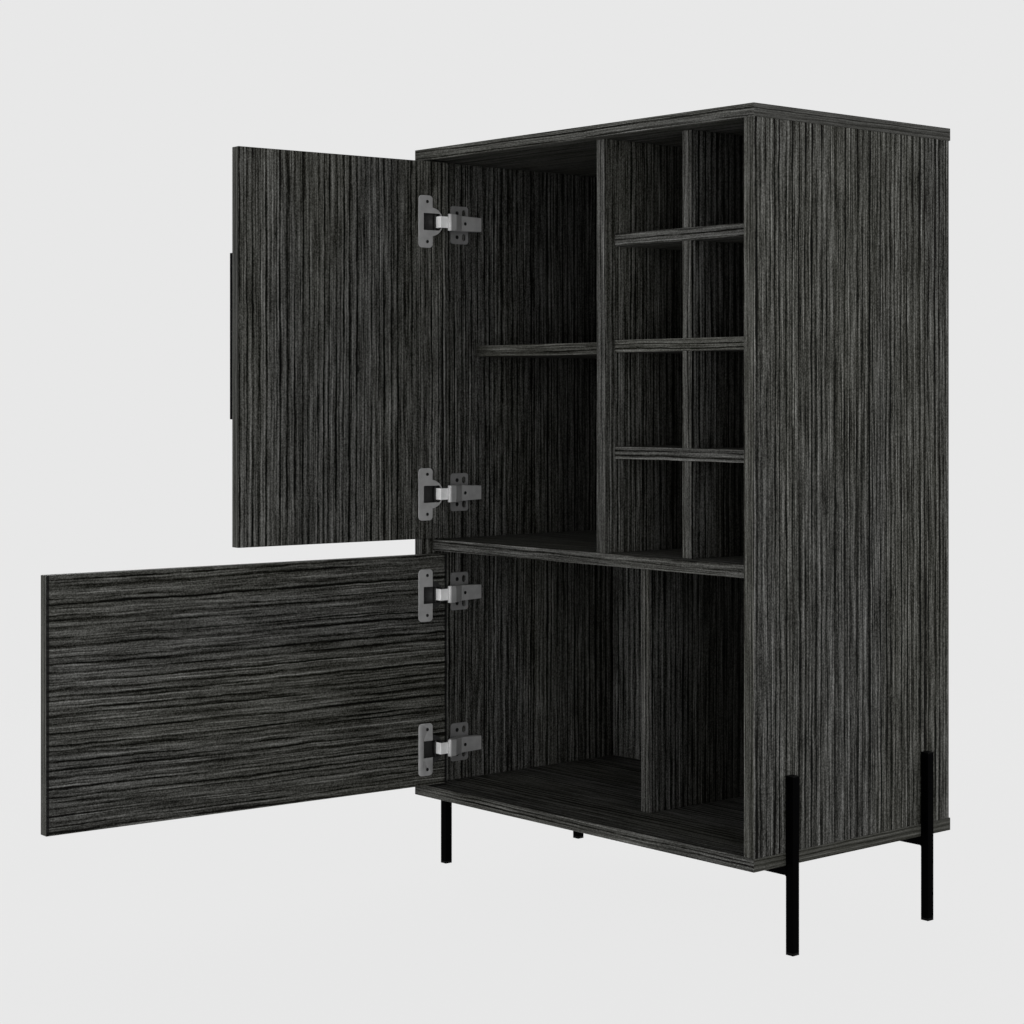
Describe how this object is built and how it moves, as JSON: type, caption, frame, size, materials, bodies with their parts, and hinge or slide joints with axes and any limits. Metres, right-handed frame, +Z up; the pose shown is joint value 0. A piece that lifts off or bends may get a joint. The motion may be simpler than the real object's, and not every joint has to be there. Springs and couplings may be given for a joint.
{
  "type": "bar cabinet",
  "caption": "Free-standing bar cabinet on square-tube metal legs: a hinged cupboard beside an open bottle rack, above a full-width hinged lower compartment.",
  "frame": {"origin": "on the floor, under the middle of the carcass's footprint", "axes": "+Z up, -Y out of the open front, +X to the right seen from the front"},
  "size_m": [0.656, 0.8908, 0.947],
  "materials": {
    "dark_laminate": "charcoal wood-grain laminate, matt",
    "black_steel": "matt black powder coat",
    "hinge_steel": "satin nickel plate",
    "bright_steel": "bright nickel plate",
    "zinc": "zinc plate",
    "black_plastic": "moulded, matt",
    "beech": "fluted beech, unfinished"
  },
  "bodies": {
    "cabinet": {"back_crossbar": "black_steel", "back_left_leg": "black_steel", "back_panel": "dark_laminate", "back_panel_nails": "zinc", "back_right_leg": "black_steel", "base_screws": "black_steel", "bottle_divider_1": "dark_laminate", "bottle_shelf_1": "dark_laminate", "bottle_shelf_2": "dark_laminate", "bottle_shelf_3": "dark_laminate", "bottom_panel": "dark_laminate", "cam_bolts": "zinc", "cam_locks": "zinc", "dowels": "beech", "foot_glides": "black_plastic", "front_crossbar": "black_steel", "front_left_leg": "black_steel", "front_right_leg": "black_steel", "hinge_arm_screws": "black_steel", "hinge_plate_screws": "black_steel", "left_side_panel": "dark_laminate", "leg_end_caps": "black_plastic", "leg_screws": "black_steel", "lower_divider": "dark_laminate", "lower_door_bottom_hinge_arm": "hinge_steel", "lower_door_bottom_hinge_neck": "bright_steel", "lower_door_bottom_hinge_plate": "hinge_steel", "lower_door_top_hinge_arm": "hinge_steel", "lower_door_top_hinge_neck": "bright_steel", "lower_door_top_hinge_plate": "hinge_steel", "middle_shelf": "dark_laminate", "right_side_panel": "dark_laminate", "top_panel": "dark_laminate", "upper_divider": "dark_laminate", "upper_door_bottom_hinge_arm": "hinge_steel", "upper_door_bottom_hinge_neck": "bright_steel", "upper_door_bottom_hinge_plate": "hinge_steel", "upper_door_top_hinge_arm": "hinge_steel", "upper_door_top_hinge_neck": "bright_steel", "upper_door_top_hinge_plate": "hinge_steel", "upper_shelf": "dark_laminate"},
    "upper_door": {"upper_door_bottom_hinge_cup": "hinge_steel", "upper_door_cup_screws": "black_steel", "upper_door_handle_bar": "black_steel", "upper_door_handle_posts": "black_steel", "upper_door_handle_studs": "black_steel", "upper_door_hinge_pins": "black_steel", "upper_door_panel": "dark_laminate", "upper_door_top_hinge_cup": "hinge_steel"},
    "lower_door": {"lower_door_bottom_hinge_cup": "hinge_steel", "lower_door_cup_screws": "black_steel", "lower_door_handle_bar": "black_steel", "lower_door_handle_posts": "black_steel", "lower_door_handle_studs": "black_steel", "lower_door_hinge_pins": "black_steel", "lower_door_panel": "dark_laminate", "lower_door_top_hinge_cup": "hinge_steel"}
  },
  "joints": [
    {"name": "upper_door_hinge", "type": "hinge", "parent": "cabinet", "child": "upper_door", "pos_m": [-0.268, -0.16608, 0.6835], "axis": [0, 0, -1], "range_deg": [-94, 11]},
    {"name": "lower_door_hinge", "type": "hinge", "parent": "cabinet", "child": "lower_door", "pos_m": [-0.268, -0.16608, 0.267], "axis": [0, 0, -1], "range_deg": [-94, 11]}
  ]
}
